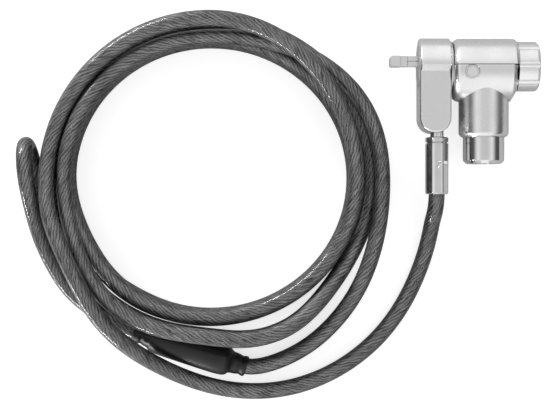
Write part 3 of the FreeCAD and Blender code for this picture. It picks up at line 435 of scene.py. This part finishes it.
def even(line, spacing=SPACING, smoothing=3.0):
    """The same line with even spacing and its small waver smoothed away."""
    steps = np.linalg.norm(np.diff(line, axis=0), axis=1)
    length = np.r_[0.0, np.cumsum(steps)]
    count = int(length[-1] / spacing)
    places = np.linspace(0.0, length[-1], count + 1)
    evened = np.stack([np.interp(places, length, line[:, k]) for k in range(3)], axis=1)
    half = int(smoothing * 3)
    weights = np.exp(-0.5 * (np.arange(-half, half + 1) / smoothing) ** 2)
    weights /= weights.sum()
    before = 2 * evened[0] - evened[half:0:-1]
    after = 2 * evened[-1] - evened[-2:-half - 2:-1]
    padded = np.vstack([before, evened, after])
    return np.stack([np.convolve(padded[:, k], weights, "valid") for k in range(3)], axis=1)


def carried_frames(line):
    """Tangent and two normals at each point, carried along with no twist of their own."""
    tangents = np.gradient(line, axis=0)
    tangents /= np.linalg.norm(tangents, axis=1)[:, None]
    normals = np.zeros_like(line)
    normals[0] = across(tangents[0])[0]
    for i in range(1, len(line)):
        carried = normals[i - 1] - tangents[i] * (normals[i - 1] @ tangents[i])
        normals[i] = carried / np.linalg.norm(carried)
    return tangents, normals, np.cross(tangents, normals)


def cable_path():
    """The whole cable from inside the ferrule to the crimp, and the place of the flex hinge on it."""
    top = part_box("tail_rope")[1].y
    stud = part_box("swivel_stud")
    x = (stud[0].x + stud[1].x) / 2
    z = (stud[0].z + stud[1].z) / 2
    tail = rod_centreline("tail_rope", (x, top - 0.5 * MM, z), (0, -1, 0), ROPE_RADIUS)
    hinge = np.array(JOINTS["cable_flex"]["pos_m"])
    leaving = unit(tail[-1] - tail[-6])
    rest = rod_centreline("coil_rope", hinge + leaving * 1.5 * MM, leaving, ROPE_RADIUS)
    return even(np.vstack([tail, rest])), hinge


# ---------------------------------------------------------------- swept pieces

ROPE_RADIUS = 1.85 * MM
JACKET_RADIUS = 2.34 * MM
SEEN_RADIUS = 2.24 * MM
LOBE_DEPTH = 0.1 * MM
LAY = 26.0 * MM
SIDES = 3 * STRANDS
JACKET_SIDES = 28
# The jacket takes every second point of the path.
JACKET_STRIDE = 2


def grid_mesh(name, rings, along, around, material, closed_ends=False):
    """A mesh of rings of points joined end to end, with a UV map of (along, around)."""
    count, size, _ = rings.shape
    verts = rings.reshape(-1, 3)
    i, j = np.meshgrid(np.arange(count - 1), np.arange(size), indexing="ij")
    k = (j + 1) % size
    quads = np.stack([i * size + j, i * size + k, (i + 1) * size + k, (i + 1) * size + j], axis=-1)
    faces = quads.reshape(-1, 4).tolist()
    if closed_ends:
        faces.append(list(range(size))[::-1])
        faces.append(list(range((count - 1) * size, count * size)))
    mesh = bpy.data.meshes.new(name)
    mesh.from_pydata(verts.tolist(), [], faces)
    layer = mesh.uv_layers.new(name="UVMap")
    u = np.stack([along[i], along[i], along[i + 1], along[i + 1]], axis=-1)
    v = np.stack([around[j], around[j + 1], around[j + 1], around[j]], axis=-1)
    uv = np.zeros((len(mesh.loops), 2))
    uv[: u.size, 0] = u.reshape(-1)
    uv[: v.size, 1] = v.reshape(-1)
    layer.data.foreach_set("uv", uv.reshape(-1))
    mesh.shade_smooth()
    mesh.materials.append(material)
    mesh.update()
    obj = bpy.data.objects.new(name, mesh)
    bpy.context.scene.collection.objects.link(obj)
    return obj


def swept(name, path, start, end, radius_at, sides, material, lay=None, stride=1):
    """Sweeps a round or lobed section along part of the path; lay is the length of one turn."""
    line, (_, normals, binormals) = path
    picked = np.arange(start, end + 1, stride)
    if picked[-1] != end:
        picked = np.r_[picked, end]
    angles = np.linspace(0.0, 2 * math.pi, sides + 1)[:-1]
    radii = radius_at(angles)
    along = picked * SPACING
    turn = along * (2 * math.pi / lay) if lay else along * 0.0
    heading = angles[None, :] + turn[:, None]
    offset = (
        np.cos(heading)[..., None] * normals[picked][:, None, :]
        + np.sin(heading)[..., None] * binormals[picked][:, None, :]
    )
    rings = line[picked][:, None, :] + offset * radii[None, :, None]
    around = np.linspace(0.0, 1.0, sides + 1)
    return grid_mesh(name, rings, along, around, material)


def lobed(angles):
    """Outline of strands laid side by side, each a rounded hump."""
    hump = np.abs(np.sin(angles * STRANDS / 2))
    return SEEN_RADIUS - LOBE_DEPTH * (1 - hump) ** 1.5


def rounded_tube(angles):
    return np.full_like(angles, JACKET_RADIUS)


def strands(name, path, start, end):
    return swept(name, path, start, end, lobed, SIDES, MATERIALS["wire_rope"], LAY)


def skin(name, path, start, end):
    jacket = MATERIALS["clear_jacket"]
    return swept(name, path, start, end, rounded_tube, JACKET_SIDES, jacket, stride=JACKET_STRIDE)


def nearest(line, point):
    return int(np.argmin(np.linalg.norm(line - np.array(point), axis=1)))


# The flex piece of the cable is cut between these places, measured along it from the flex hinge and back from the
# ferrule's mouth.
FLEX_AFTER = 45.0 * MM
INSIDE_FERRULE = 4.0 * MM


def long_frame(node):
    """A long piece lying flat: its middle in plan, the directions along and across it, half its length
    and half its width."""
    plan = node_points(node)[:, :2]
    _, _, directions = np.linalg.svd(plan - plan.mean(axis=0), full_matrices=False)
    axis = directions[0] * np.sign(directions[0][0])
    ends = plan @ axis
    side = np.array([-axis[1], axis[0]])
    sides = plan @ side
    centre = axis * (ends.max() + ends.min()) / 2 + side * (sides.max() + sides.min()) / 2
    return centre, axis, side, (ends.max() - ends.min()) / 2, (sides.max() - sides.min()) / 2


# How far to the side of the crimp's axis the rope's middle may lie and still be in the crimp.
CRIMP_REACH = 1.2 * MM


def passes_through_crimp(line):
    """First and last index of each pass of the line through the crimp, in order."""
    centre, axis, side, half, _ = long_frame("loop_crimp")
    low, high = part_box("loop_crimp")
    off = line[:, :2] - centre
    inside = (np.abs(off @ side) < CRIMP_REACH) & (np.abs(off @ axis) < half)
    inside &= (line[:, 2] > low.z) & (line[:, 2] < high.z)
    indices = np.where(inside)[0]
    runs = np.split(indices, np.where(np.diff(indices) > 4)[0] + 1)
    longest = sorted(runs, key=len)[-2:]
    return sorted((run[0], run[-1]) for run in longest)


def build_cable():
    line, hinge = cable_path()
    path = (line, carried_frames(line))
    at_hinge = nearest(line, hinge)
    flex_end = at_hinge + int(FLEX_AFTER / SPACING)
    last = len(line) - 1
    ferrule_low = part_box("end_ferrule")[0]
    mouth = nearest(line, (hinge[0], ferrule_low.y, 0.0))
    inside = max(mouth - int(INSIDE_FERRULE / SPACING), 0)
    (into, out_of), (back_into, _) = passes_through_crimp(line)

    flex_strands = strands("flex_strands", path, inside, flex_end)
    coil_strands = strands("coil_strands", path, flex_end, last)
    flex_skin = skin("flex_jacket", path, inside, flex_end)
    coil_skin = skin("coil_jacket_skin", path, flex_end, into)
    loop_skin = skin("loop_jacket_skin", path, out_of, back_into)
    for piece in (flex_strands, flex_skin):
        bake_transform(piece)
    for piece in (coil_strands, coil_skin, loop_skin):
        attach(piece, "coil")
    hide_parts("tail_rope")
    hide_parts("coil_rope")
    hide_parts("tail_jacket")
    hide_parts("coil_jacket")
    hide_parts("loop_jacket")


# ---------------------------------------------------------------- the moulded sleeve

def oval(half_width, half_height, sides):
    """Outline of a flat-sided oval standing on edge, as (across, up) pairs."""
    flat = half_height - half_width
    angles = np.linspace(0.0, 2 * math.pi, sides + 1)[:-1]
    up = np.sin(angles) * half_width
    up += np.where(np.sin(angles) > 1e-6, flat, np.where(np.sin(angles) < -1e-6, -flat, 0.0))
    return np.stack([np.cos(angles) * half_width, up], axis=1)


COLLAR = 5.2 * MM
SLEEVE_SIDES = 48


def build_sleeve():
    """Black moulded cover over the crimp: bulged body and stepped collars."""
    points = node_points("loop_sleeve")
    centre, axis, side, half_length, half_width = long_frame("loop_sleeve")
    low, high = points[:, 2].min(), points[:, 2].max()
    middle_z, half_height = (low + high) / 2, (high - low) / 2
    far, near = -half_length, half_length
    wide, tall, collar = half_width, half_height, COLLAR
    # Each station: place along, then half width, half height and lift as shares of the body's.
    stations = [
        (far, 0.60, 0.86, 0.0), (far + 0.03 * collar, 0.64, 0.89, 0.0),
        (far + 0.3 * collar, 0.66, 0.90, 0.0), (far + 0.42 * collar, 0.66, 0.90, 0.0),
        (far + 0.46 * collar, 0.60, 0.84, 0.0), (far + 0.60 * collar, 0.60, 0.84, 0.0),
        (far + 0.64 * collar, 0.68, 0.91, 0.0), (far + 0.95 * collar, 0.70, 0.92, 0.0),
        (far + 1.0 * collar, 0.84, 0.95, 0.0), (far + 1.15 * collar, 0.94, 0.985, 0.0),
        (far + 1.5 * collar, 0.985, 1.0, 0.0), (far + 2.2 * collar, 1.0, 1.0, 0.0),
        (0.0, 1.0, 1.0, 0.0), (near - 2.2 * collar, 1.0, 1.0, 0.0),
        (near - 1.5 * collar, 0.985, 0.995, 0.0), (near - 1.15 * collar, 0.92, 0.95, -0.04),
        (near - 1.0 * collar, 0.80, 0.84, -0.12), (near - 0.96 * collar, 0.70, 0.62, -0.36),
        (near - 0.5 * collar, 0.69, 0.58, -0.40), (near - 0.44 * collar, 0.62, 0.52, -0.42),
        (near - 0.30 * collar, 0.62, 0.52, -0.42), (near - 0.24 * collar, 0.68, 0.57, -0.42),
        (near - 0.05 * collar, 0.68, 0.57, -0.42), (near, 0.60, 0.52, -0.42),
    ]
    rings = []
    for along, width_share, height_share, lift in stations:
        width = wide * width_share
        outline = oval(width, max(tall * height_share, width * 1.001), SLEEVE_SIDES)
        across_points = centre + axis * along + outline[:, :1] * side
        rings.append(np.c_[across_points, middle_z + lift * tall + outline[:, 1]])
    rings = np.array(rings)
    place = np.array([station[0] for station in stations])
    around = np.linspace(0.0, 1.0, SLEEVE_SIDES + 1)
    sleeve = grid_mesh("moulded_sleeve", rings, place, around, MATERIALS["black_sleeve"], True)
    smooth = sleeve.modifiers.new("smooth", "SUBSURF")
    smooth.levels = smooth.render_levels = 2
    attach(sleeve, "coil")
    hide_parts("loop_sleeve")


# ---------------------------------------------------------------- studio

FLOOR_HALF = 1.5


def build_floor():
    """White paper under the lock, lit up for the camera only so that it doesn't glare in the metal."""
    low, _ = cad_bounds
    material, tree = new_tree("floor_paper")
    place = tree.add("TexCoord").outputs["Object"]
    grain = tree.noise(place, 900.0)
    bump = tree.add("Bump", {"Strength": 0.03, "Distance": 0.1 * MM, "Height": grain})
    seen = tree.add("LightPath").outputs["Is Camera Ray"]
    shader = tree.add(
        "BsdfPrincipled",
        {
            "Base Color": (0.62, 0.62, 0.62, 1.0),
            "Roughness": 0.9,
            "Specular IOR Level": 0.1,
            "Normal": bump.outputs["Normal"],
            "Emission Color": (1.0, 1.0, 1.0, 1.0),
            "Emission Strength": tree.math("MULTIPLY", seen, 0.7),
        },
    )
    tree.finish(shader.outputs["BSDF"])
    half = FLOOR_HALF
    mesh = bpy.data.meshes.new("floor")
    corners = [(-half, -half, low[2]), (half, -half, low[2]), (half, half, low[2]), (-half, half, low[2])]
    mesh.from_pydata(corners, [], [(0, 1, 2, 3)])
    mesh.materials.append(material)
    floor = bpy.data.objects.new("floor", mesh)
    bpy.context.scene.collection.objects.link(floor)


def build_world():
    """A soft white studio: bright overhead and front to back, dimmer towards the left and right."""
    world = bpy.data.worlds.new("studio")
    bpy.context.scene.world = world
    tree = Tree(world)
    direction = tree.add("TexCoord").outputs["Generated"]
    split = tree.add("SeparateXYZ", {"Vector": direction})
    x, y, z = (split.outputs[k] for k in "XYZ")
    sideways = tree.span(tree.math("ABSOLUTE", x), 0.3, 0.92, 0.0, 1.0)
    low_down = tree.span(z, 0.25, 0.98, 1.0, 0.0)
    dark = tree.math("MULTIPLY", sideways, low_down)
    light = tree.span(dark, 0.0, 1.0, 1.0, 0.1)
    depth = tree.span(tree.math("ABSOLUTE", y), 0.0, 0.8, 0.86, 1.02)
    overhead = tree.span(z, 0.8, 0.99, 1.0, 0.72)
    strength = tree.math("MULTIPLY", tree.math("MULTIPLY", light, depth), overhead)
    background = tree.add("Background", {"Color": (1.0, 1.0, 1.0, 1.0), "Strength": strength})
    tree.finish(background.outputs["Background"], "OutputWorld")


def area_light(name, place, aim, width, height, power):
    data = bpy.data.lights.new(name, "AREA")
    data.shape = "RECTANGLE"
    data.size, data.size_y = width, height
    data.energy = power
    light = bpy.data.objects.new(name, data)
    light.location = place
    light.rotation_euler = (Vector(aim) - Vector(place)).to_track_quat("-Z", "Y").to_euler()
    bpy.context.scene.collection.objects.link(light)
    return light


def build_lights(middle):
    """Two long low lights on the left, which draw the thin bright lines on the jacket."""
    x, y, z = middle
    area_light("key_front_left", (x - 0.36, y - 0.36, z + 0.04), middle, 0.42, 0.05, 2.0)
    area_light("kicker_top_left", (x - 0.30, y + 0.36, z + 0.16), middle, 0.26, 0.05, 1.2)


SENSOR_MM = 36.0
LENS_MM = 96.0
EYE_ABOVE_AXIS = 0.425
LOOK_RIGHT = -0.7 * MM
LOOK_UP = 1.2 * MM


def build_camera(middle):
    """Straight down on the lock as it lies on the table."""
    data = bpy.data.cameras.new("camera")
    data.sensor_width = SENSOR_MM
    data.lens = LENS_MM
    data.clip_start, data.clip_end = 0.01, 10.0
    camera = bpy.data.objects.new("camera", data)
    camera.location = (middle[0], middle[1], EYE_ABOVE_AXIS)
    bpy.context.scene.collection.objects.link(camera)
    bpy.context.scene.camera = camera


def studio_middle():
    """Where the camera looks: just off the middle of the lock and its cable in plan."""
    low, high = cad_bounds
    return ((low[0] + high[0]) / 2 + LOOK_RIGHT, (low[1] + high[1]) / 2 + LOOK_UP, 0.0)


dress_cad()
build_cable()
build_sleeve()
build_floor()
build_world()
build_lights(studio_middle())
build_camera(studio_middle())
bpy.context.scene.view_settings.view_transform = "Standard"
